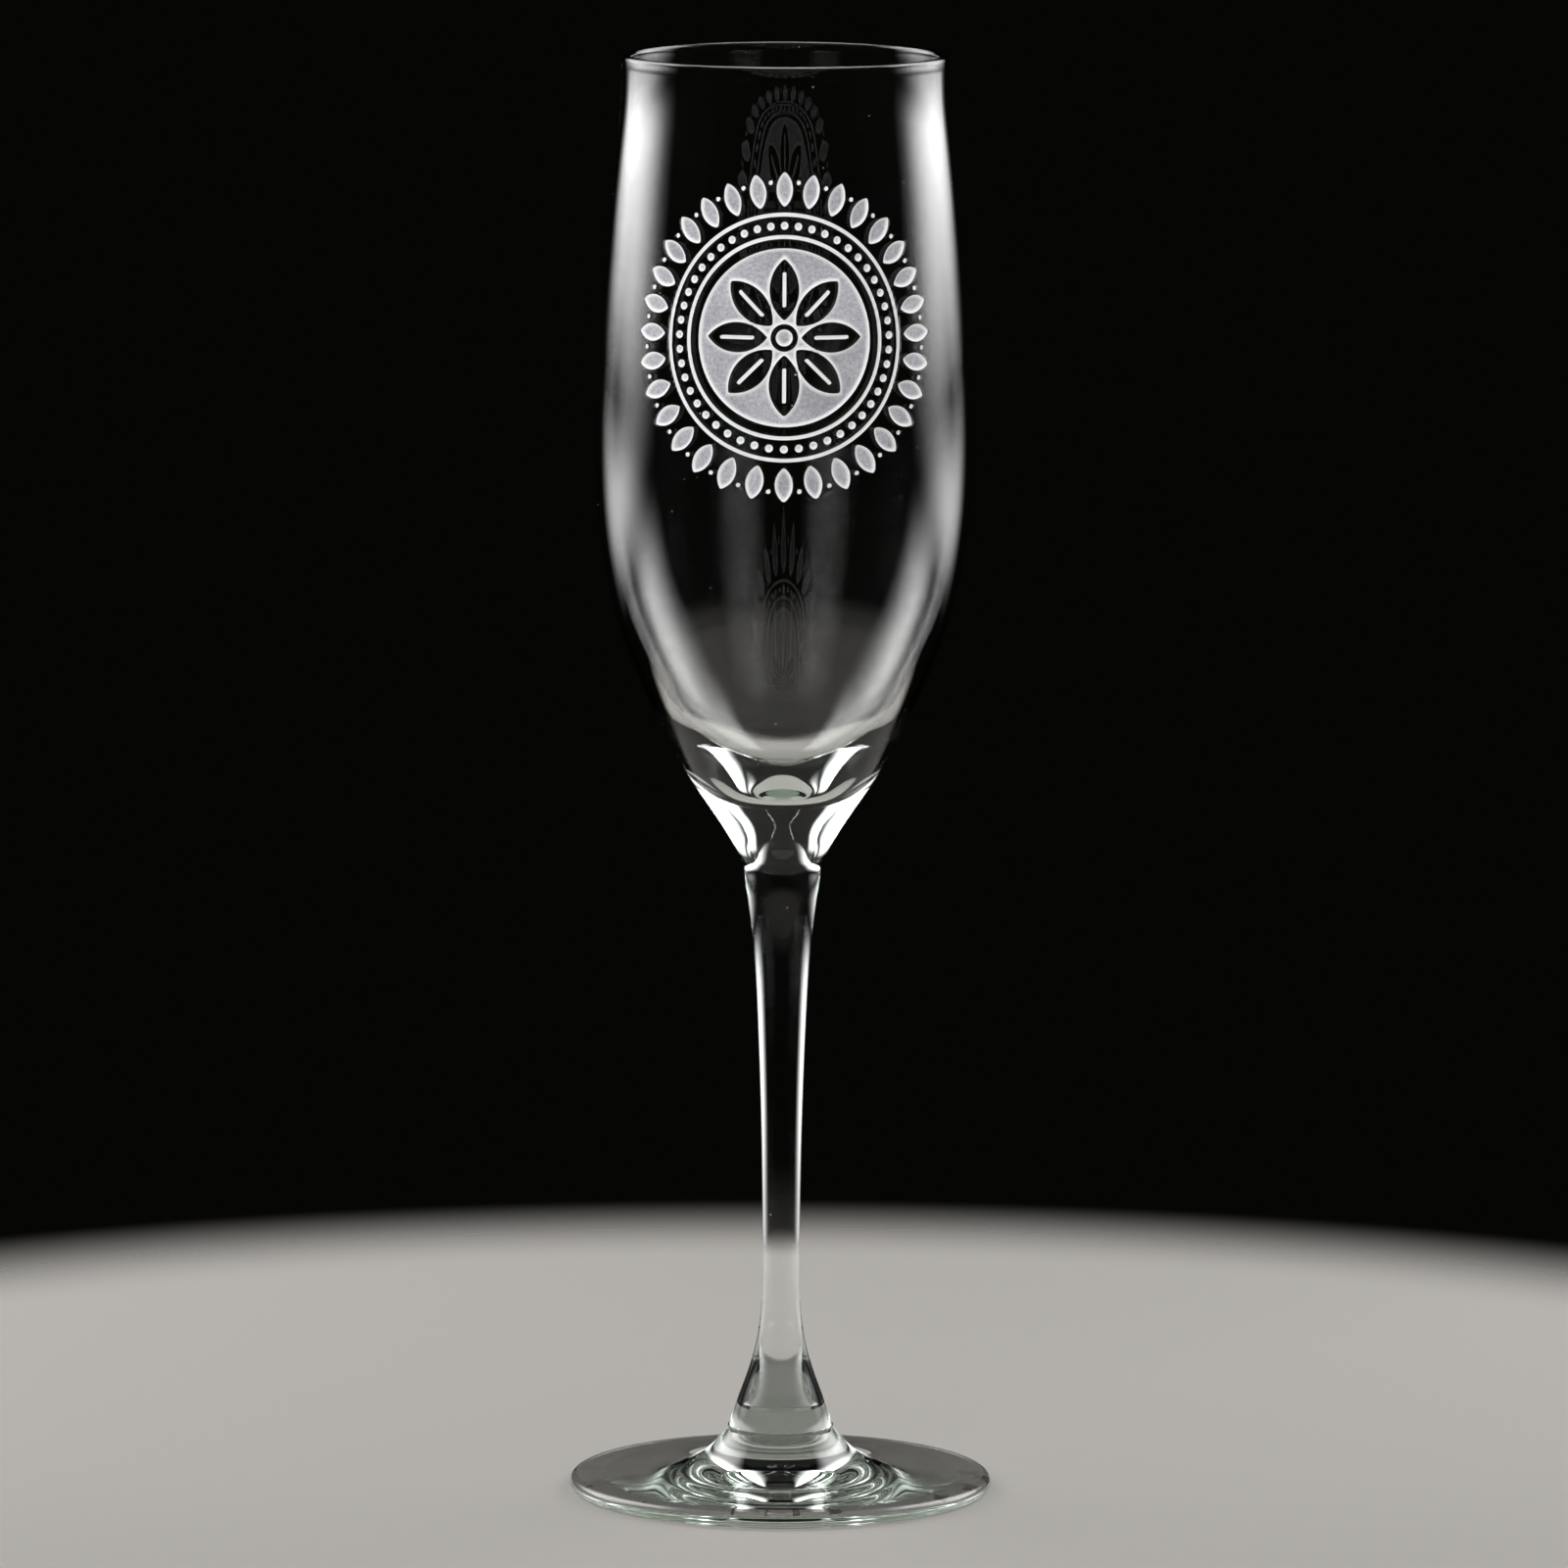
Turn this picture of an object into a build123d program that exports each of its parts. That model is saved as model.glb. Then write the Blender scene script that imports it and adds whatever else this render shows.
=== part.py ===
# A champagne flute in three pieces of glass, fused hot end to end:
# a blown bowl with a solid base, a drawn stem and a pressed foot.
# Millimetres, +Z up, origin on the axis where the foot rests.
from build123d import *
import os

os.makedirs("parts", exist_ok=True)

# Driving dimensions
total_height = 225.0
rim_diameter = 50.4
widest_diameter = 58.6
widest_height = 166.0
foot_diameter = 66.0
stem_waist_diameter = 5.86
neck_diameter = 12.64
hub_diameter = 16.2
collar_diameter = 16.5
collar_height = 0.6
bowl_seam_height = 99.5
foot_seam_height = 10.2
wall_at_rim = 1.4
wall_at_widest = 1.3
inner_floor_height = 111.0
foot_edge_thickness = 2.5
foot_dome_height = 0.9
medallion_height = 184.0
disc_radius = 13.6
ring_radii = (18.7, 15.3)
ring_width = 0.6
petal_count = 8
leaf_count = 32
etch_depth = 0.3

rim_radius = rim_diameter / 2
widest_radius = widest_diameter / 2
foot_radius = foot_diameter / 2
neck_slope = (0.36, 0.93)
unit_speed = (1, 1)  # an end tangent of length one keeps a curve's last span from overshooting
waist_radius = stem_waist_diameter / 2
neck_radius = neck_diameter / 2
hub_radius = hub_diameter / 2
collar_radius = collar_diameter / 2

# Bowl: the outer curve climbs from the neck at the seam, up the solid base, out to the widest ring
# and in again to the lip; the inner curve starts at the middle of the floor
lip_height = total_height - wall_at_rim / 2
base_side = [
    (neck_radius, bowl_seam_height),
    (6.95, 100.8),
    (10.6, 106.7),
    (13.8, 111.4),
    (18.2, 119.0),
    (21.9, 126.7),
]
upper_side = [
    (26.0, 138.0),
    (28.4, 150.0),
    (widest_radius, widest_height),
    (28.6, 182.0),
    (27.4, 196.5),
    (26.0, 210.6),
    (rim_radius + 0.1, 218.0),
    (rim_radius, lip_height),
]
inner_curve = [
    (0, inner_floor_height),
    (5.0, 111.7),
    (9.6, 114.9),
    (14.9, 120.1),
    (19.7, 127.7),
    (24.3, 138.5),
    (26.9, 150.0),
    (widest_radius - wall_at_widest, widest_height),
    (27.3, 182.0),
    (26.1, 196.5),
    (24.7, 210.6),
    (rim_radius - wall_at_rim + 0.15, 218.0),
    (rim_radius - wall_at_rim, lip_height),
]

# Medallion etched into the front: a disc with a clear rosette in it, two rings and a border of
# leaves. It is wrapped round the wall, so seen from the front it is a little narrower than tall
front_shrink = 0.92
petal_span = (2.6, 12.0)
petal_half_width = 2.3
leaf_span = (19.8, 25.2)
leaf_half_width = 1.35


def leaf_outline(span, half_width):
    """A pointed leaf along X: two equal arcs between its tips."""
    start, end = span
    middle = (start + end) / 2
    ThreePointArc((start, 0), (middle, half_width), (end, 0))
    ThreePointArc((end, 0), (middle, -half_width), (start, 0))


with BuildSketch() as petal:
    with BuildLine():
        leaf_outline(petal_span, petal_half_width)
    make_face()

with BuildSketch() as leaf:
    with BuildLine():
        leaf_outline(leaf_span, leaf_half_width)
    make_face()

with BuildSketch() as medallion:
    for ring_radius in ring_radii:
        Circle(ring_radius + ring_width / 2)
        Circle(ring_radius - ring_width / 2, mode=Mode.SUBTRACT)
    Circle(disc_radius)
    with PolarLocations(0, petal_count, start_angle=90):
        add(petal.sketch, mode=Mode.SUBTRACT)
    with PolarLocations(0, leaf_count, start_angle=90):
        add(leaf.sketch)
    scale(by=(front_shrink, 1, 1))

with BuildPart() as etch_floor:
    with BuildSketch(Plane.XZ):
        with BuildLine():
            floor_side = Spline(*[(radius - etch_depth, height) for radius, height in upper_side])
            Polyline(
                floor_side @ 1,
                (0, lip_height),
                (0, upper_side[0][1]),
                floor_side @ 0,
            )
        make_face()
    revolve(axis=Axis.Z)

with BuildPart() as etching:
    with BuildSketch(Plane.XZ.offset(widest_radius / 2)):
        with Locations((0, medallion_height)):
            add(medallion.sketch)
    extrude(amount=widest_radius)
    add(etch_floor.part, mode=Mode.SUBTRACT)

with BuildPart() as bowl:
    with BuildSketch(Plane.XZ):
        with BuildLine():
            Line((0, inner_floor_height), (0, bowl_seam_height))
            Line((0, bowl_seam_height), (neck_radius, bowl_seam_height))
            outer = Spline(*base_side, *upper_side, tangents=(neck_slope, (0, 1)), tangent_scalars=unit_speed)
            inner = Spline(*inner_curve, tangents=((1, 0), (0, 1)), tangent_scalars=unit_speed)
            lip = ThreePointArc(
                outer @ 1,
                (rim_radius - wall_at_rim / 2, total_height),
                inner @ 1,
            )
        make_face()
    revolve(axis=Axis.Z)
    add(etching.part, mode=Mode.SUBTRACT)
bowl.part.label = "bowl"
export_step(bowl.part, "parts/bowl.step")

# Stem: its long outline narrows from the neck to the waist, then flares into the hub
stem_curve = [
    (hub_radius, foot_seam_height),
    (7.9, 11.0),
    (7.25, 13.0),
    (6.15, 16.0),
    (4.75, 20.0),
    (3.6, 25.0),
    (3.0, 31.0),
    (waist_radius, 42.0),
    (3.2, 58.0),
    (3.75, 74.0),
    (4.7, 88.0),
    (5.38, 93.2),
    (5.84, 96.8),
    (neck_radius, bowl_seam_height),
]

with BuildPart() as stem:
    with BuildSketch(Plane.XZ):
        with BuildLine():
            side = Spline(*stem_curve, tangents=((-0.2, 0.98), neck_slope), tangent_scalars=unit_speed)
            Polyline(
                side @ 1,
                (0, bowl_seam_height),
                (0, foot_seam_height),
                side @ 0,
            )
        make_face()
    revolve(axis=Axis.Z)
stem.part.label = "stem"
export_step(stem.part, "parts/stem.step")

# Foot: a disc with a rounded edge that rises to a short conical collar, a hair wider than the stem
# fused to it; it rests on a flat ring near its edge and its underside is a shallow dome inside that
edge_radius = foot_edge_thickness / 2
ring_outer_radius = foot_radius - edge_radius
ring_inner_radius = ring_outer_radius - 4.0
collar_foot = (collar_radius + 0.2, foot_seam_height - collar_height)
foot_curve = [
    collar_foot,
    (9.6, 8.1),
    (12.2, 5.6),
    (16.5, 4.0),
    (23.0, 3.2),
    (ring_outer_radius, foot_edge_thickness),
]

with BuildPart() as foot:
    with BuildSketch(Plane.XZ):
        with BuildLine():
            top = Spline(*foot_curve, tangents=((0.62, -0.78), (1, -0.05)), tangent_scalars=unit_speed)
            edge = ThreePointArc(
                top @ 1,
                (foot_radius, edge_radius),
                (ring_outer_radius, 0),
            )
            Line((ring_outer_radius, 0), (ring_inner_radius, 0))
            dome = Spline(
                (ring_inner_radius, 0),
                (0, foot_dome_height),
                tangents=((-1, 0.05), (-1, 0)),
                tangent_scalars=unit_speed,
            )
            Polyline(
                (0, foot_dome_height),
                (0, foot_seam_height),
                (collar_radius, foot_seam_height),
                collar_foot,
            )
        make_face()
    revolve(axis=Axis.Z)
foot.part.label = "foot"
export_step(foot.part, "parts/foot.step")
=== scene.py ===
import math

import bpy
import numpy as np
from mathutils import Euler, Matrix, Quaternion, Vector


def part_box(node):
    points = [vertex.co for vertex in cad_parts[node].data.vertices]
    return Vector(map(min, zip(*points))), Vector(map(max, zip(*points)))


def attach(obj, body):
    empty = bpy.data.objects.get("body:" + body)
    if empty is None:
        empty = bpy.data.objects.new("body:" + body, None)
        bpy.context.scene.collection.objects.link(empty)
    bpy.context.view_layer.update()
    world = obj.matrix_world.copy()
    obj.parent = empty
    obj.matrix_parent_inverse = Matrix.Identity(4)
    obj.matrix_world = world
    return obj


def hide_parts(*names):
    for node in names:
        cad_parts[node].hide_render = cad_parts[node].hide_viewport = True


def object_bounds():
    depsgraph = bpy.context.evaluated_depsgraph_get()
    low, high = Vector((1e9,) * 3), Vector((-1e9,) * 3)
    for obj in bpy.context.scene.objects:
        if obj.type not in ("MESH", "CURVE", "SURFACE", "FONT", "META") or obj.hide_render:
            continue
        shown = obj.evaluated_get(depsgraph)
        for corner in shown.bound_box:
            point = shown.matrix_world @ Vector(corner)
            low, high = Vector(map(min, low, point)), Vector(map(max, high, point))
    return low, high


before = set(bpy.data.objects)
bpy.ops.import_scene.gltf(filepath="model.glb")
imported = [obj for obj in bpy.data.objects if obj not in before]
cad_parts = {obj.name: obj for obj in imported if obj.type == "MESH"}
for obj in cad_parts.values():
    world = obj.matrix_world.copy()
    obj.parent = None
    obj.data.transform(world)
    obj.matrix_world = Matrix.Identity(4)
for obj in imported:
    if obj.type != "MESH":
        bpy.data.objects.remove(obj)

mm = 0.001
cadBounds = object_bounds()
bowlLow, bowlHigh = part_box("bowl")
stemLow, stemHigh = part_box("stem")
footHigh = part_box("foot")[1]
print("frame loaded:", sorted(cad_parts))


def linearColour(hexColour):
    # sRGB hex to linear light: a straight part near black, a 2.4 power above it
    channels = np.array([int(hexColour[i:i + 2], 16) for i in (1, 3, 5)]) / 255
    low = channels / 12.92
    high = ((channels + 0.055) / 1.055) ** 2.4
    return (*np.where(channels <= 0.04045, low, high).tolist(), 1.0)


def addNode(tree, kind, settings=None, values=None, links=None):
    # one shader node with its settings, socket values and incoming links
    node = tree.nodes.new(kind)
    for name, value in (settings or {}).items():
        setattr(node, name, value)
    for socket, value in (values or {}).items():
        node.inputs[socket].default_value = value
    for socket, source in (links or {}).items():
        tree.links.new(source, node.inputs[socket])
    return node


def smoothStep(x):
    # 0 below 0, 1 above 1, and 3x^2 - 2x^3 between
    x = np.clip(x, 0, 1)
    return x * x * (3 - 2 * x)


def splineThrough(points, startDirection, endDirection, count):
    # cubic curve through the points: its parameter is the length of the chords, the slopes at the
    # inner points make the bend continuous, and the two ends keep their directions
    p = np.array(points, float)
    chord = np.hypot(*np.diff(p, axis=0).T)
    t = np.concatenate([[0], np.cumsum(chord)])
    before, after = chord[:-1, None], chord[1:, None]
    inner = np.arange(1, len(p) - 1)
    system = np.eye(len(p))
    system[inner, inner - 1] = chord[1:]
    system[inner, inner] = 2 * (chord[:-1] + chord[1:])
    system[inner, inner + 1] = chord[:-1]
    slopes = np.zeros_like(p)
    slopes[0] = np.array(startDirection) / np.hypot(*startDirection)
    slopes[-1] = np.array(endDirection) / np.hypot(*endDirection)
    slopes[1:-1] = 3 * (after * (p[1:-1] - p[:-2]) / before + before * (p[2:] - p[1:-1]) / after)
    m = np.linalg.solve(system, slopes)
    s = np.linspace(0, t[-1], count)
    k = np.clip(np.searchsorted(t, s, side="right") - 1, 0, len(p) - 2)
    h = chord[k, None]
    x = (s[:, None] - t[k, None]) / h
    return (p[k] * (1 + 2 * x) * (1 - x) ** 2 + h * m[k] * x * (1 - x) ** 2
            + p[k + 1] * x * x * (3 - 2 * x) + h * m[k + 1] * x * x * (x - 1))


def arcThrough(centre, radius, startAngle, endAngle, count=60):
    # part of a circle: centre plus radius times the cosine and sine of an angle in degrees
    a = np.radians(np.linspace(startAngle, endAngle, count))
    return np.stack([centre[0] + radius * np.cos(a), centre[1] + radius * np.sin(a)], axis=1)


def paced(path, spacing):
    # walks a dense path again with steps of the wanted size: the number of steps to a place is the
    # sum of length over spacing up to it, and the new points stand at whole numbers of it
    step = np.hypot(*np.diff(path, axis=0).T)
    wanted = spacing if np.ndim(spacing) == 0 else (spacing[1:] + spacing[:-1]) / 2
    steps = np.concatenate([[0], np.cumsum(step / wanted)])
    stops = np.linspace(0, steps[-1], int(np.ceil(steps[-1])) + 1)
    return np.stack([np.interp(stops, steps, path[:, i]) for i in (0, 1)], axis=1)


def turnedMesh(name, strips, angles):
    # a closed surface of revolution. Each strip is (path, push, fused): the path's radius and height
    # in mm, how far each point is pushed outwards, and whether its faces lie against the next piece.
    # Point = (radius cos, radius sin, height), its normal is the slope round the axis crossed with
    # the slope along the path, and the first and last points of all lie on the axis
    cosine, sine = np.cos(angles), np.sin(angles)
    turn = len(angles)
    coordinates, corners, cornerNormals, sizes, fusedFaces = [], [], [], [], []
    used = 0
    for number, (path, push, fused) in enumerate(strips):
        radius = path[:, :1] + push
        height = np.broadcast_to(path[:, 1:], radius.shape)
        length = np.concatenate([[0], np.cumsum(np.hypot(*np.diff(path, axis=0).T))])
        wrapped = np.concatenate([radius[:, -2:], radius, radius[:, :2]], axis=1)
        wrappedAngles = np.concatenate([angles[-2:] - 2 * np.pi, angles, angles[:2] + 2 * np.pi])
        spread = np.gradient(wrapped, wrappedAngles, axis=1)[:, 2:-2]
        rise = np.gradient(radius, length, axis=0)
        lift = np.gradient(height, length, axis=0)
        around = np.stack([spread * cosine - radius * sine, spread * sine + radius * cosine,
                           0 * radius], axis=2)
        onAxis = path[:, 0] < 1e-9
        around[onAxis] = np.stack([-sine, cosine, 0 * sine], axis=1)
        along = np.stack([rise * cosine, rise * sine, lift], axis=2)
        normal = np.cross(around, along)
        normal /= np.linalg.norm(normal, axis=2, keepdims=True)
        points = np.stack([radius * cosine, radius * sine, height], axis=2)
        # a row on the axis is one point, and a strip's first row is the last row of the strip before
        counts = np.where(onAxis, 1, turn)
        if number:
            counts[0] = 0
        starts = used + np.cumsum(counts) - counts
        ids = starts[:, None] + np.where(onAxis[:, None], 0, np.arange(turn))
        if number:
            ids[0] = lastRow
        coordinates.append(points[np.arange(turn) < counts[:, None]])
        used += counts.sum()
        lastRow = ids[-1]
        rightIds, rightNormal = np.roll(ids, -1, axis=1), np.roll(normal, -1, axis=1)
        quads = np.stack([ids[:-1], rightIds[:-1], rightIds[1:], ids[1:]], axis=2)
        quadNormals = np.stack([normal[:-1], rightNormal[:-1], rightNormal[1:], normal[1:]], axis=2)
        first, last = int(onAxis[0]), len(path) - 1 - int(onAxis[-1])
        blocks = [(quads[first:last], quadNormals[first:last])]
        if onAxis[0]:
            blocks.append((quads[:1, :, [0, 2, 3]], quadNormals[:1][:, :, [0, 2, 3]]))
        if onAxis[-1]:
            blocks.append((quads[-1:, :, [0, 1, 2]], quadNormals[-1:][:, :, [0, 1, 2]]))
        for block, blockNormals in blocks:
            side = block.shape[2]
            corners.append(block.ravel())
            cornerNormals.append(blockNormals.reshape(-1, 3))
            sizes.append(np.full(block.size // side, side))
            fusedFaces.append(np.full(block.size // side, float(fused)))
    coordinates = np.concatenate(coordinates) * mm
    corners, sizes = np.concatenate(corners), np.concatenate(sizes)
    mesh = bpy.data.meshes.new(name)
    mesh.vertices.add(len(coordinates))
    mesh.vertices.foreach_set("co", coordinates.ravel())
    mesh.loops.add(len(corners))
    mesh.loops.foreach_set("vertex_index", corners)
    mesh.polygons.add(len(sizes))
    mesh.polygons.foreach_set("loop_start", np.cumsum(sizes) - sizes)
    mesh.update(calc_edges=True)
    mesh.shade_smooth()
    mesh.attributes.new("fused", "FLOAT", "FACE").data.foreach_set("value", np.concatenate(fusedFaces))
    mesh.normals_split_custom_set(np.concatenate(cornerNormals).tolist())
    piece = bpy.data.objects.new(name, mesh)
    bpy.context.scene.collection.objects.link(piece)
    print(name, "has", len(sizes), "faces")
    return piece


cameraValues = {
    "distance": 1.858,     # m in front of the axis
    "height": 0.375,       # m above the floor
    "aside": 0.0002,       # m to the right
    "pitch": 8.0755,       # degrees down
    "roll": 0.2,           # degrees
    "lens": 277.2,         # mm on a 36 mm sensor
}


def makeCamera():
    data = bpy.data.cameras.new("camera")
    data.lens = cameraValues["lens"]
    data.sensor_width = 36
    data.clip_start = 0.05
    camera = bpy.data.objects.new("camera", data)
    camera.location = (cameraValues["aside"], -cameraValues["distance"], cameraValues["height"])
    level = Euler((math.radians(90 - cameraValues["pitch"]), 0, 0)).to_quaternion()
    camera.rotation_mode = "QUATERNION"
    camera.rotation_quaternion = level @ Quaternion((0, 0, 1), math.radians(cameraValues["roll"]))
    bpy.context.scene.collection.objects.link(camera)
    bpy.context.scene.camera = camera


# bearing is in degrees from straight in front of the glass (-Y), positive to the right, and rise is in
# degrees up; distance and size are in metres, power in watts; fade is the share of the width and of the
# height over which the light rises from nothing at each edge; mirrored lights show in the glass
studioLights = {
    "softboxLeft": {"bearing": -123, "rise": 29.5, "distance": 0.66, "size": (0.88, 0.74), "power": 12.5,
                    "fade": (0.5, 0.24), "mirrored": True},
    "softboxRight": {"bearing": 123, "rise": 29.5, "distance": 0.66, "size": (0.88, 0.74), "power": 12.5,
                     "fade": (0.5, 0.24), "mirrored": True},
    "whiteCardLeft": {"bearing": -120, "rise": -8.1, "distance": 0.91, "size": (1.0, 0.29), "power": 1.9,
                      "fade": (0.5, 0.5), "mirrored": True},
    "whiteCardRight": {"bearing": 120, "rise": -8.1, "distance": 0.91, "size": (1.0, 0.29), "power": 1.9,
                       "fade": (0.5, 0.5), "mirrored": True},
    "frontFill": {"bearing": -12, "rise": 32, "distance": 1.7, "size": (1.3, 1.0), "power": 66,
                  "fade": (0.3, 0.3), "mirrored": False},
}


def makeLight(name, values):
    bearing, rise = math.radians(values["bearing"]), math.radians(values["rise"])
    aim = Vector((0, 0, (cadBounds[0].z + cadBounds[1].z) / 2))
    level = math.cos(rise)
    outwards = Vector((math.sin(bearing) * level, -math.cos(bearing) * level, math.sin(rise)))
    data = bpy.data.lights.new(name, "AREA")
    data.shape = "RECTANGLE"
    data.size, data.size_y = values["size"]
    data.energy = values["power"]
    data.use_nodes = True
    tree = data.node_tree
    tree.nodes.clear()
    # the light fades towards its edges, as a diffuser's does: the product of a ramp in from each side
    place = addNode(tree, "ShaderNodeNewGeometry")
    split = addNode(tree, "ShaderNodeSeparateXYZ", links={0: place.outputs["Parametric"]})
    ramps = []
    for axis, fade in zip(("X", "Y"), values["fade"]):
        centred = addNode(tree, "ShaderNodeMath", {"operation": "SUBTRACT"}, {1: 0.5},
                          {0: split.outputs[axis]})
        away = addNode(tree, "ShaderNodeMath", {"operation": "ABSOLUTE"}, links={0: centred.outputs[0]})
        ramps.append(addNode(tree, "ShaderNodeMapRange", {"interpolation_type": "SMOOTHSTEP"},
                             {"From Min": 0.5, "From Max": 0.5 - fade}, {"Value": away.outputs[0]}))
    both = addNode(tree, "ShaderNodeMath", {"operation": "MULTIPLY"},
                   links={0: ramps[0].outputs["Result"], 1: ramps[1].outputs["Result"]})
    glow = addNode(tree, "ShaderNodeEmission", links={"Strength": both.outputs[0]})
    addNode(tree, "ShaderNodeOutputLight", links={"Surface": glow.outputs[0]})
    light = bpy.data.objects.new(name, data)
    light.location = aim + outwards * values["distance"]
    light.rotation_mode = "QUATERNION"
    light.rotation_quaternion = outwards.to_track_quat("Z", "Y")
    light.visible_camera = False
    light.visible_glossy = values["mirrored"]
    light.visible_transmission = values["mirrored"]
    bpy.context.scene.collection.objects.link(light)


tableValues = {
    "radius": 0.30,            # m
    "fade": (0.20, 0.26),      # m from the middle, where the table starts to fade and where it ends
    "rings": 23,
    "turns": 96,
    "colour": "#928f8b",
    "roughness": 0.75,
}


def makeTable():
    # a flat disc: radius and angle on a grid
    ring = np.linspace(0, tableValues["radius"], tableValues["rings"] + 1)[1:]
    angle = np.linspace(0, 2 * np.pi, tableValues["turns"], endpoint=False)
    points = np.stack([np.outer(ring, np.cos(angle)), np.outer(ring, np.sin(angle)),
                       np.zeros((len(ring), len(angle)))], axis=2).reshape(-1, 3)
    ids = 1 + np.arange(len(points)).reshape(len(ring), len(angle))
    right = np.roll(ids, -1, axis=1)
    quads = np.stack([ids[:-1], ids[1:], right[1:], right[:-1]], axis=2).reshape(-1, 4)
    fan = np.stack([0 * ids[0], ids[0], right[0]], axis=1)
    mesh = bpy.data.meshes.new("table")
    mesh.from_pydata(np.vstack([[0, 0, 0], points]), [], [*fan.tolist(), *quads.tolist()])
    table = bpy.data.objects.new("table", mesh)
    bpy.context.scene.collection.objects.link(table)
    mesh.materials.append(makeTableMaterial())


def makeTableMaterial():
    # matt painted board: pale, no gloss, with its edge lost in the dark
    material = bpy.data.materials.new("mattPaintedBoard")
    material.use_nodes = True
    tree = material.node_tree
    tree.nodes.clear()
    place = addNode(tree, "ShaderNodeTexCoord")
    away = addNode(tree, "ShaderNodeVectorMath", {"operation": "LENGTH"}, links={0: place.outputs["Object"]})
    solid = addNode(tree, "ShaderNodeMapRange", {"interpolation_type": "SMOOTHSTEP"},
                    {"From Min": tableValues["fade"][1], "From Max": tableValues["fade"][0]},
                    {"Value": away.outputs["Value"]})
    shader = addNode(tree, "ShaderNodeBsdfPrincipled",
                     values={"Base Color": linearColour(tableValues["colour"]),
                             "Roughness": tableValues["roughness"]},
                     links={"Alpha": solid.outputs["Result"]})
    addNode(tree, "ShaderNodeOutputMaterial", links={"Surface": shader.outputs[0]})
    return material


backdropColour = "#060605"     # black cloth
# light passes many skins of glass before it leaves, so it needs more bounces than an opaque thing does;
# bright specks of focused light are left out
lightPaths = {
    "max_bounces": 32,
    "transmission_bounces": 32,
    "glossy_bounces": 16,
    "transparent_max_bounces": 32,
    "caustics_reflective": False,
    "caustics_refractive": False,
}


def makeSurroundings():
    scene = bpy.context.scene
    scene.world = bpy.data.worlds.new("backdrop")
    scene.world.use_nodes = True
    background = scene.world.node_tree.nodes["Background"]
    background.inputs["Color"].default_value = linearColour(backdropColour)
    for name, value in lightPaths.items():
        setattr(scene.cycles, name, value)
    scene.view_settings.view_transform = "Standard"


makeCamera()
for lightName, lightValues in studioLights.items():
    makeLight(lightName, lightValues)
makeTable()
makeSurroundings()
print("camera and studio made")


glassValues = {
    "ior": 1.52,               # soda-lime glass
    "depthColour": "#d1f6dd",  # what is left of white light after its depth, a faint iron green
    "density": 8.0,            # per metre
    "shadow": 0.09,            # share of light that each skin of clear glass keeps from a shadow
    "ripple": (14.0, 0.03),    # mm across and mm high, the slow ripple of blown and drawn glass
    "speck": (5.0, 0.10),      # mm apart and mm in radius, dust on the skin
}
frostValues = {
    "roughness": 0.6,
    "clearness": 0.2,          # share of light that still goes through the frosted skin
    "colour": "#e0dee6",
    # white of the painted highlight along the frost's cut edges, standing in for the light that they catch
    "paintedEdgeHighlightColour": "#ffffff",
    "edge": (-0.04, 0.06),     # mm inside the outline, where clear glass turns to frost
    "paintedEdgeHighlight": (0.10, 0.75),  # mm inside the outline, where the painted highlight along the cut edge turns to the grey field
    "grit": 0.45,              # mm, sandblast grit; the real one is finer than the render can show
    "gritRoughness": 0.7,      # share of ever finer grain in it
    "gritContrast": 0.45,
    "gritRelief": (0.08, 0.7),     # mm high and share of it
    "cloud": (8.0, 0.30),      # mm across and contrast, the uneven passes of the sandblast
    "middleNoise": (0.3, 0.7),     # noise values between which a pattern goes from dark to light
}


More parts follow.
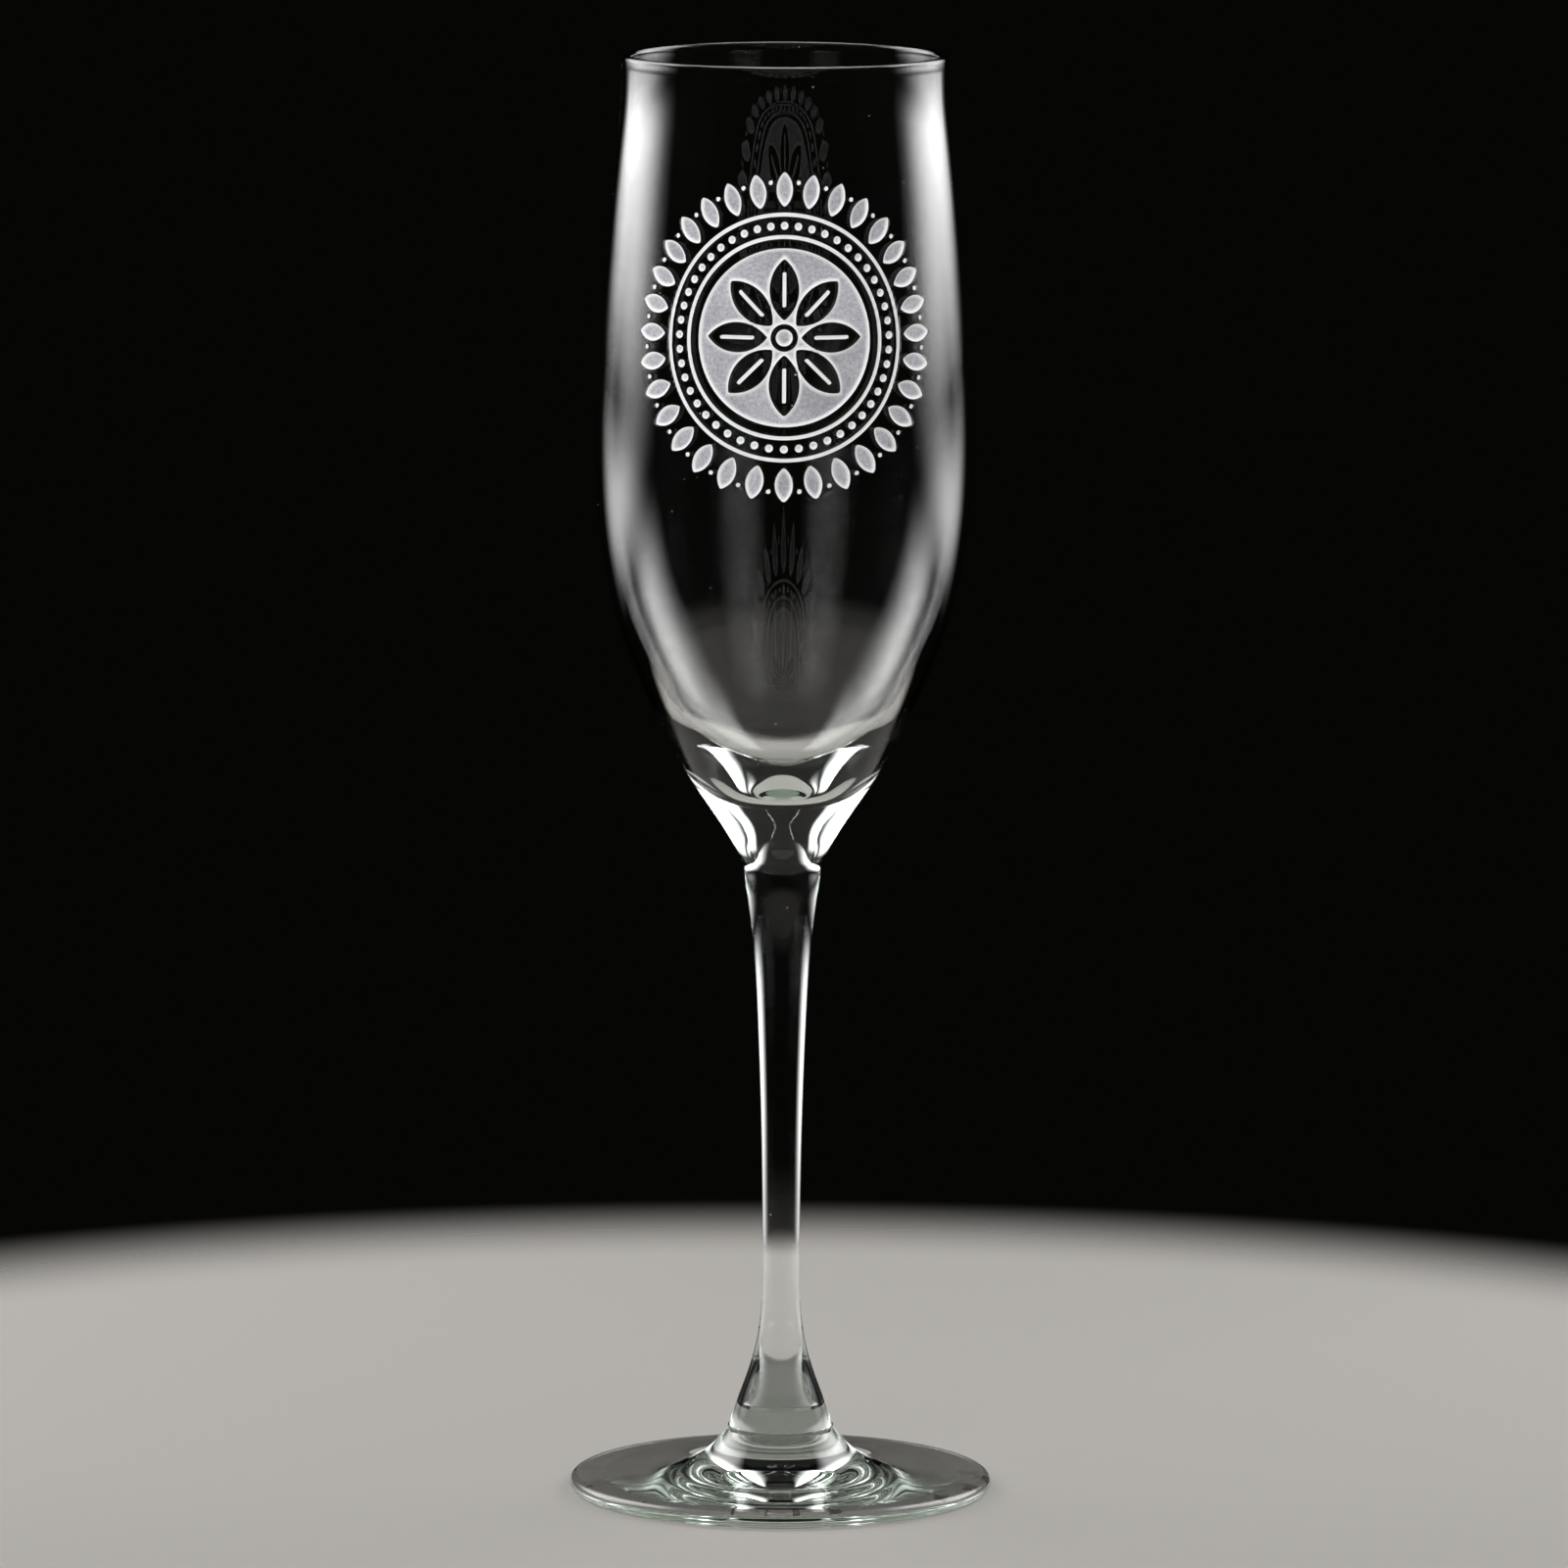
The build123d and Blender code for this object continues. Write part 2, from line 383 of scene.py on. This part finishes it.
def makeGlass(name, etched):
    # soda-lime glass, blown, drawn or pressed and then fire-polished: a mirror-smooth clear skin with a
    # slow ripple, and a faint green in its depth. Light passes into the shadows of clear glass
    material = bpy.data.materials.new(name)
    material.use_nodes = True
    tree = material.node_tree
    tree.nodes.clear()
    place = addNode(tree, "ShaderNodeTexCoord").outputs["Object"]
    rippleWidth, rippleHeight = glassValues["ripple"]
    ripple = addNode(tree, "ShaderNodeTexNoise", values={"Scale": 1 / (rippleWidth * mm), "Detail": 1.0},
                     links={"Vector": place})
    normal = addNode(tree, "ShaderNodeBump", values={"Strength": 1.0, "Distance": rippleHeight * mm},
                     links={"Height": ripple.outputs["Fac"]}).outputs[0]
    speckSpacing, speckRadius = glassValues["speck"]
    speckPlace = addNode(tree, "ShaderNodeTexVoronoi", values={"Scale": 1 / (speckSpacing * mm)},
                         links={"Vector": place})
    frost = addNode(tree, "ShaderNodeMath", {"operation": "LESS_THAN"}, {1: speckRadius / speckSpacing},
                    {0: speckPlace.outputs["Distance"]}).outputs[0]
    shaderLinks = {}
    if etched:
        frost, normal, shaderLinks["Base Color"] = addFrost(tree, place, frost, normal)
    clear = addNode(tree, "ShaderNodeMapRange", values={"To Min": 1.0, "To Max": frostValues["clearness"]},
                    links={"Value": frost})
    rough = addNode(tree, "ShaderNodeMath", {"operation": "MULTIPLY"}, {1: frostValues["roughness"]},
                    {0: frost})
    # the skin is left out where two pieces are fused, and thinned for shadow rays where it is clear
    fused = addNode(tree, "ShaderNodeAttribute", {"attribute_name": "fused"})
    ray = addNode(tree, "ShaderNodeLightPath")
    clearShadow = addNode(tree, "ShaderNodeMath", {"operation": "MULTIPLY"}, {0: 1 - glassValues["shadow"]},
                          {1: ray.outputs["Is Shadow Ray"]})
    unfrosted = addNode(tree, "ShaderNodeMath", {"operation": "SUBTRACT"}, {0: 1.0}, {1: frost})
    opening = addNode(tree, "ShaderNodeMath", {"operation": "MULTIPLY"},
                      links={0: clearShadow.outputs[0], 1: unfrosted.outputs[0]})
    left = addNode(tree, "ShaderNodeMath", {"operation": "MAXIMUM"},
                   links={0: opening.outputs[0], 1: fused.outputs["Fac"]})
    skinShare = addNode(tree, "ShaderNodeMath", {"operation": "SUBTRACT"}, {0: 1.0}, {1: left.outputs[0]})
    shaderLinks.update({"Alpha": skinShare.outputs[0], "Roughness": rough.outputs[0],
                        "Transmission Weight": clear.outputs["Result"], "Normal": normal})
    shader = addNode(tree, "ShaderNodeBsdfPrincipled",
                     values={"Base Color": (1, 1, 1, 1), "IOR": glassValues["ior"]}, links=shaderLinks)
    depth = addNode(tree, "ShaderNodeVolumeAbsorption",
                    values={"Color": linearColour(glassValues["depthColour"]),
                            "Density": glassValues["density"]})
    addNode(tree, "ShaderNodeOutputMaterial",
            links={"Surface": shader.outputs[0], "Volume": depth.outputs[0]})
    return material


def addFrost(tree, place, frost, normal):
    # where glass is deep-etched, sandblasting leaves a white skin with a fine grain, uneven from pass to
    # pass; a painted highlight makes it brightest along its cut edges. Gives back the share of frost, the
    # normal and the colour
    inset = addNode(tree, "ShaderNodeAttribute", {"attribute_name": "etchInset"}).outputs["Fac"]
    cut = addNode(tree, "ShaderNodeMapRange", {"interpolation_type": "SMOOTHSTEP"},
                  {"From Min": frostValues["edge"][0], "From Max": frostValues["edge"][1]},
                  {"Value": inset}).outputs["Result"]
    # mask of the painted edge highlight: 0 at the cut edge, rising to 1 in the grey field further in
    deep = addNode(tree, "ShaderNodeMapRange", {"interpolation_type": "SMOOTHSTEP"},
                   {"From Min": frostValues["paintedEdgeHighlight"][0], "From Max": frostValues["paintedEdgeHighlight"][1]},
                   {"Value": inset}).outputs["Result"]
    grain = addNode(tree, "ShaderNodeTexNoise",
                    values={"Scale": 1 / (frostValues["grit"] * mm), "Detail": 2.0,
                            "Roughness": frostValues["gritRoughness"]},
                    links={"Vector": place}).outputs["Fac"]
    cloudWidth, cloudContrast = frostValues["cloud"]
    cloud = addNode(tree, "ShaderNodeTexNoise", values={"Scale": 1 / (cloudWidth * mm), "Detail": 3.0},
                    links={"Vector": place}).outputs["Fac"]
    dark, light = frostValues["middleNoise"]
    shades = [addNode(tree, "ShaderNodeMapRange",
                      values={"From Min": dark, "From Max": light, "To Min": 1 - contrast},
                      links={"Value": pattern}).outputs["Result"]
              for pattern, contrast in ((grain, frostValues["gritContrast"]), (cloud, cloudContrast))]
    shade = addNode(tree, "ShaderNodeMath", {"operation": "MULTIPLY"}, links={0: shades[0], 1: shades[1]})
    field = addNode(tree, "ShaderNodeMix", {"data_type": "RGBA", "blend_type": "MULTIPLY"},
                    {"Factor": 1.0, "A": linearColour(frostValues["colour"])}, {"B": shade.outputs[0]})
    # painted highlight: the frost's colour turns to white in a band along its cut edges
    skin = addNode(tree, "ShaderNodeMix", {"data_type": "RGBA"},
                   {"A": linearColour(frostValues["paintedEdgeHighlightColour"])},
                   {"Factor": deep, "B": field.outputs["Result"]})
    colour = addNode(tree, "ShaderNodeMix", {"data_type": "RGBA"}, {"A": (1, 1, 1, 1)},
                     {"Factor": cut, "B": skin.outputs["Result"]})
    relief = addNode(tree, "ShaderNodeMath", {"operation": "MULTIPLY"}, links={0: grain, 1: cut})
    reliefHeight, reliefShare = frostValues["gritRelief"]
    grained = addNode(tree, "ShaderNodeBump",
                      values={"Strength": reliefShare, "Distance": reliefHeight * mm},
                      links={"Height": relief.outputs[0], "Normal": normal})
    share = addNode(tree, "ShaderNodeMath", {"operation": "MAXIMUM"}, links={0: frost, 1: cut})
    return share.outputs[0], grained.outputs[0], colour.outputs["Result"]


seamGap = 0.01                 # mm left between two fused faces, so that each is met in turn
neckRadius = 6.32              # mm, where the bowl meets the stem
neckSlope = (0.36, 0.93)       # outwards and up, the same on both sides of that seam
hubRadius = 8.1                # mm, where the stem meets the foot
curvePoints = 6000             # points worked out along a curve before it is walked in even steps
facePoints = 4                 # points from the axis to the edge of a fused face

bowlValues = {
    # radius and height in mm up the outer wall, from above the seam to below the widest ring
    "outer": ((6.95, 100.8), (10.6, 106.7), (13.8, 111.4), (18.2, 119.0), (21.9, 126.7), (26.0, 138.0),
              (28.4, 150.0)),
    "widestHeight": 166.0,
    "outerTop": ((28.6, 182.0), (27.4, 196.5), (26.0, 210.6), (25.3, 218.0)),
    "rimRadius": 25.2,
    "wallAtRim": 1.4,
    "inner": ((23.95, 218.0), (24.7, 210.6), (26.1, 196.5), (27.3, 182.0), (28.0, 166.0), (26.9, 150.0),
              (24.3, 138.5), (19.7, 127.7), (14.9, 120.1), (9.6, 114.9), (5.0, 111.7)),
    "floorHeight": 111.0,
    # mm between rows of the mesh, against height: finest under the medallion and at the seam
    "outerSteps": ((99.5, 0.22), (103, 0.5), (142, 0.65), (151, 1.0), (157, 0.35), (211, 0.35), (215, 1.2),
                   (225, 1.0)),
    "innerSteps": ((111, 0.6), (140, 0.7), (155, 1.5), (225, 1.5)),
    "fineTurn": 0.35,          # mm between columns across the medallion
    "coarseTurn": 3.3,         # degrees between columns round the back
    "turnBlend": 0.15,         # radians over which the columns spread out
    "lipStep": 0.14,           # mm between rows over the lip
}
medallion = {
    "height": 184.0,           # mm above the table
    "reach": 25.6,             # mm, half of the finely divided field
    "wrapRadius": 28.46,       # mm, the wall's radius behind its middle
    "disc": 13.6,              # mm, radius of the frosted disc
    "eye": (1.3, 2.1),         # mm, radius of the frosted dot and of the clear ring round it
    "rings": (15.3, 18.7),     # mm, radius
    "ringHalf": 0.3,           # mm, half of a ring's width
    "petals": (8, 2.6, 12.0, 2.3),         # count, start, end and half width in mm
    "veins": (8, 4.6, 10.0, 0.3),
    "leaves": (32, 19.8, 25.2, 1.35),
    "beads": (48, 17.0, 0.62),             # count, distance from the centre and radius in mm
    "seeds": (32, 23.6, 0.38),
    "depth": 0.3,              # mm
    "bevel": 0.4,              # mm over which the wall goes down to that depth
    "farOutside": -2.0,        # mm, the inset of all that lies off the pattern
}


def foldAngle(across, up, count):
    # turns every point into the sector about the upward direction: the distance from the centre
    # along the sector's middle, and off it
    away, turn = np.hypot(across, up), np.arctan2(across, up)
    sector = 2 * np.pi / count
    folded = (turn + sector / 2) % sector - sector / 2
    return away * np.cos(folded), np.abs(away * np.sin(folded))


def leafInset(across, up, count, start, end, halfWidth):
    # depth inside a ring of pointed leaves: each is where two equal circles overlap
    x, y = foldAngle(across, up, count)
    halfLength = (end - start) / 2
    radius = (halfLength ** 2 + halfWidth ** 2) / (2 * halfWidth)
    return radius - np.hypot(x - (start + end) / 2, y + radius - halfWidth)


def beadInset(across, up, count, ring, radius):
    # depth inside a ring of round beads
    x, y = foldAngle(across, up, count)
    return radius - np.hypot(x - ring, y)


def halfTurned(across, up, count):
    # the same points turned by half of one of count sectors
    half = np.pi / count
    return across * np.cos(half) - up * np.sin(half), across * np.sin(half) + up * np.cos(half)


def medallionInset(across, up):
    # depth inside the frosted pattern in mm, negative outside it: the largest over its shapes
    away = np.hypot(across, up)
    petals = leafInset(across, up, *medallion["petals"])
    dot, clearRing = medallion["eye"]
    disc = np.minimum(medallion["disc"] - away, -petals)
    disc = np.minimum(disc, away - clearRing)
    veinCount, veinStart, veinEnd, veinHalf = medallion["veins"]
    x, y = foldAngle(across, up, veinCount)
    vein = np.minimum(veinHalf - y, np.minimum(x - veinStart, veinEnd - x))
    beads = beadInset(across, up, *medallion["beads"])
    seeds = beadInset(*halfTurned(across, up, medallion["seeds"][0]), *medallion["seeds"])
    lines = [medallion["ringHalf"] - np.abs(away - ring) for ring in medallion["rings"]]
    leaves = leafInset(across, up, *medallion["leaves"])
    return np.maximum.reduce([disc, dot - away, vein, beads, seeds, leaves, *lines])


def fusedFace(radius, height):
    # points from the axis out to the edge of a flat fused face
    return np.stack([np.linspace(0, radius, facePoints), np.full(facePoints, height)], axis=1)


def makeBowl():
    # path in mm: out along the fused face, up the outer wall, over the lip and down the inner wall to
    # the middle of the floor
    seam, top = bowlLow[2] / mm + seamGap, bowlHigh[2] / mm
    rim, half = bowlValues["rimRadius"], bowlValues["wallAtRim"] / 2
    widest = (bowlHigh[0] / mm, bowlValues["widestHeight"])
    outer = splineThrough([(neckRadius, seam), *bowlValues["outer"], widest, *bowlValues["outerTop"],
                           (rim, top - half)], neckSlope, (0, 1), curvePoints)
    lip = arcThrough((rim - half, top - half), half, 0, 180)
    inner = splineThrough([(rim - 2 * half, top - half), *bowlValues["inner"],
                           (0, bowlValues["floorHeight"])], (0, -1), (-1, 0), curvePoints)
    outerStep = np.interp(outer[:, 1], *zip(*bowlValues["outerSteps"]))
    innerStep = np.interp(inner[:, 1], *zip(*bowlValues["innerSteps"]))
    outerWall = paced(outer, outerStep)[:-1]
    wall = np.concatenate([outerWall, paced(lip, bowlValues["lipStep"])[:-1], paced(inner, innerStep)])
    wall[-1, 0] = 0
    # columns are close together across the medallion, in front, and further apart round the back
    dense = np.linspace(-np.pi, np.pi, curvePoints)
    fineTurn = bowlValues["fineTurn"] / medallion["wrapRadius"]
    coarseTurn = math.radians(bowlValues["coarseTurn"])
    reachTurn = medallion["reach"] / medallion["wrapRadius"]
    past = smoothStep((np.abs(dense) - reachTurn) / bowlValues["turnBlend"])
    turnStep = fineTurn + (coarseTurn - fineTurn) * past
    turns = paced(np.stack([dense, 0 * dense], axis=1), turnStep)[:-1, 0]
    # the medallion is pressed into the outer wall, wrapped round it
    farOutside = medallion["farOutside"]
    across = turns[None, :] * medallion["wrapRadius"]
    up = wall[:, 1:] - medallion["height"]
    inset = np.maximum(medallionInset(across, up), farOutside)
    inset[len(outerWall):] = farOutside
    push = -medallion["depth"] * smoothStep(inset / medallion["bevel"])
    face = fusedFace(neckRadius, seam)
    front = -np.pi / 2
    bowl = turnedMesh("bowlGlass", [(face, 0 * turns, True), (wall, push, False)], turns + front)
    # the same inset at each point of the mesh: the face, its middle first, then the wall to its last point
    facePart = np.full(1 + (facePoints - 1) * len(turns), farOutside)
    values = np.concatenate([facePart, inset[1:-1].ravel(), [farOutside]])
    bowl.data.attributes.new("etchInset", "FLOAT", "POINT").data.foreach_set("value", values)
    return bowl


bowl = makeBowl()
bowl.data.materials.append(makeGlass("blownSodaLimeGlass", etched=True))
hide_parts("bowl")
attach(bowl, "root")
print("bowl made")


clearGlass = makeGlass("firePolishedSodaLimeGlass", etched=False)
stemValues = {
    # radius and height in mm up the side, from above the hub to below the neck
    "side": ((7.9, 11.0), (7.25, 13.0), (6.15, 16.0), (4.75, 20.0), (3.6, 25.0), (3.0, 31.0), (2.93, 42.0),
             (3.2, 58.0), (3.75, 74.0), (4.7, 88.0), (5.38, 93.2), (5.84, 96.8)),
    "steps": ((10, 0.2), (30, 0.5), (88, 0.6), (96, 0.3), (99.5, 0.2)),     # mm between rows, against height
    "hubSlope": (-0.2, 0.98),  # inwards and up
    "turns": 160,
}


def makeStem():
    # path in mm: out along the lower fused face, up the side and in along the upper fused face
    low, high = stemLow[2] / mm + seamGap, stemHigh[2] / mm - seamGap
    side = splineThrough([(hubRadius, low), *stemValues["side"], (neckRadius, high)],
                         stemValues["hubSlope"], neckSlope, curvePoints)
    sideStep = np.interp(side[:, 1], *zip(*stemValues["steps"]))
    angles = np.linspace(0, 2 * np.pi, stemValues["turns"], endpoint=False)
    rest = 0 * angles
    bottom, top = fusedFace(hubRadius, low), fusedFace(neckRadius, high)[::-1]
    return turnedMesh("stemGlass", [(bottom, rest, True), (paced(side, sideStep), rest, False),
                                    (top, rest, True)], angles)


stem = makeStem()
stem.data.materials.append(clearGlass)
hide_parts("stem")
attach(stem, "root")
print("stem made")


footValues = {
    "edgeThickness": 2.5,      # mm
    "ringWidth": 4.0,          # mm, the flat ring that it rests on
    "domeHeight": 0.9,         # mm
    "domeSlope": (1, -0.05),   # at the dome's outer end
    "collar": ((8.45, 9.6), (8.25, 10.2)),     # mm, a short cone under the seam and its ledge
    "top": ((23.0, 3.2), (16.5, 4.0), (12.2, 5.6), (9.6, 8.1)),     # mm, radius and height
    "topSlopes": ((-1, 0.05), (-0.62, 0.78)),  # at the edge and at the collar
    "steps": ((7, 0.2), (9.5, 0.2), (12, 0.4), (33, 0.5)),     # mm between rows, against radius
    "domeStep": 1.2,           # mm between rows, and likewise the next two
    "ringStep": 0.5,
    "edgeStep": 0.15,
    "turns": 240,
}


def makeFoot():
    # path in mm: out under the dome to the resting ring, round the edge and in over the top to the
    # collar, then up the collar, in over its ledge and along the fused face
    high = footHigh[2] / mm - seamGap
    collarFoot, collarTop = footValues["collar"]
    half = footValues["edgeThickness"] / 2
    ringOuter = footHigh[0] / mm - half
    ringInner = ringOuter - footValues["ringWidth"]
    dome = splineThrough([(0, footValues["domeHeight"]), (ringInner, 0)], (1, 0), footValues["domeSlope"],
                         curvePoints)
    ring = np.array([(ringInner, 0), (ringOuter, 0)], float)
    edge = arcThrough((ringOuter, half), half, -90, 90)
    upper = splineThrough([(ringOuter, 2 * half), *footValues["top"], collarFoot], *footValues["topSlopes"],
                          curvePoints)
    upperStep = np.interp(upper[:, 0], *zip(*footValues["steps"]))
    path = np.concatenate([paced(dome, footValues["domeStep"])[:-1], paced(ring, footValues["ringStep"])[:-1],
                           paced(edge, footValues["edgeStep"])[:-1], paced(upper, upperStep)])
    path[0, 0] = 0
    collar = np.linspace(collarFoot, (collarTop[0], high), facePoints)
    ledge = np.array([(collarTop[0], high), (hubRadius, high)])
    face = fusedFace(hubRadius, high)[::-1]
    angles = np.linspace(0, 2 * np.pi, footValues["turns"], endpoint=False)
    rest = 0 * angles
    return turnedMesh("footGlass", [(path, rest, False), (collar, rest, False), (ledge, rest, False),
                                    (face, rest, True)], angles)


foot = makeFoot()
foot.data.materials.append(clearGlass)
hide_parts("foot")
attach(foot, "root")
print("foot made")
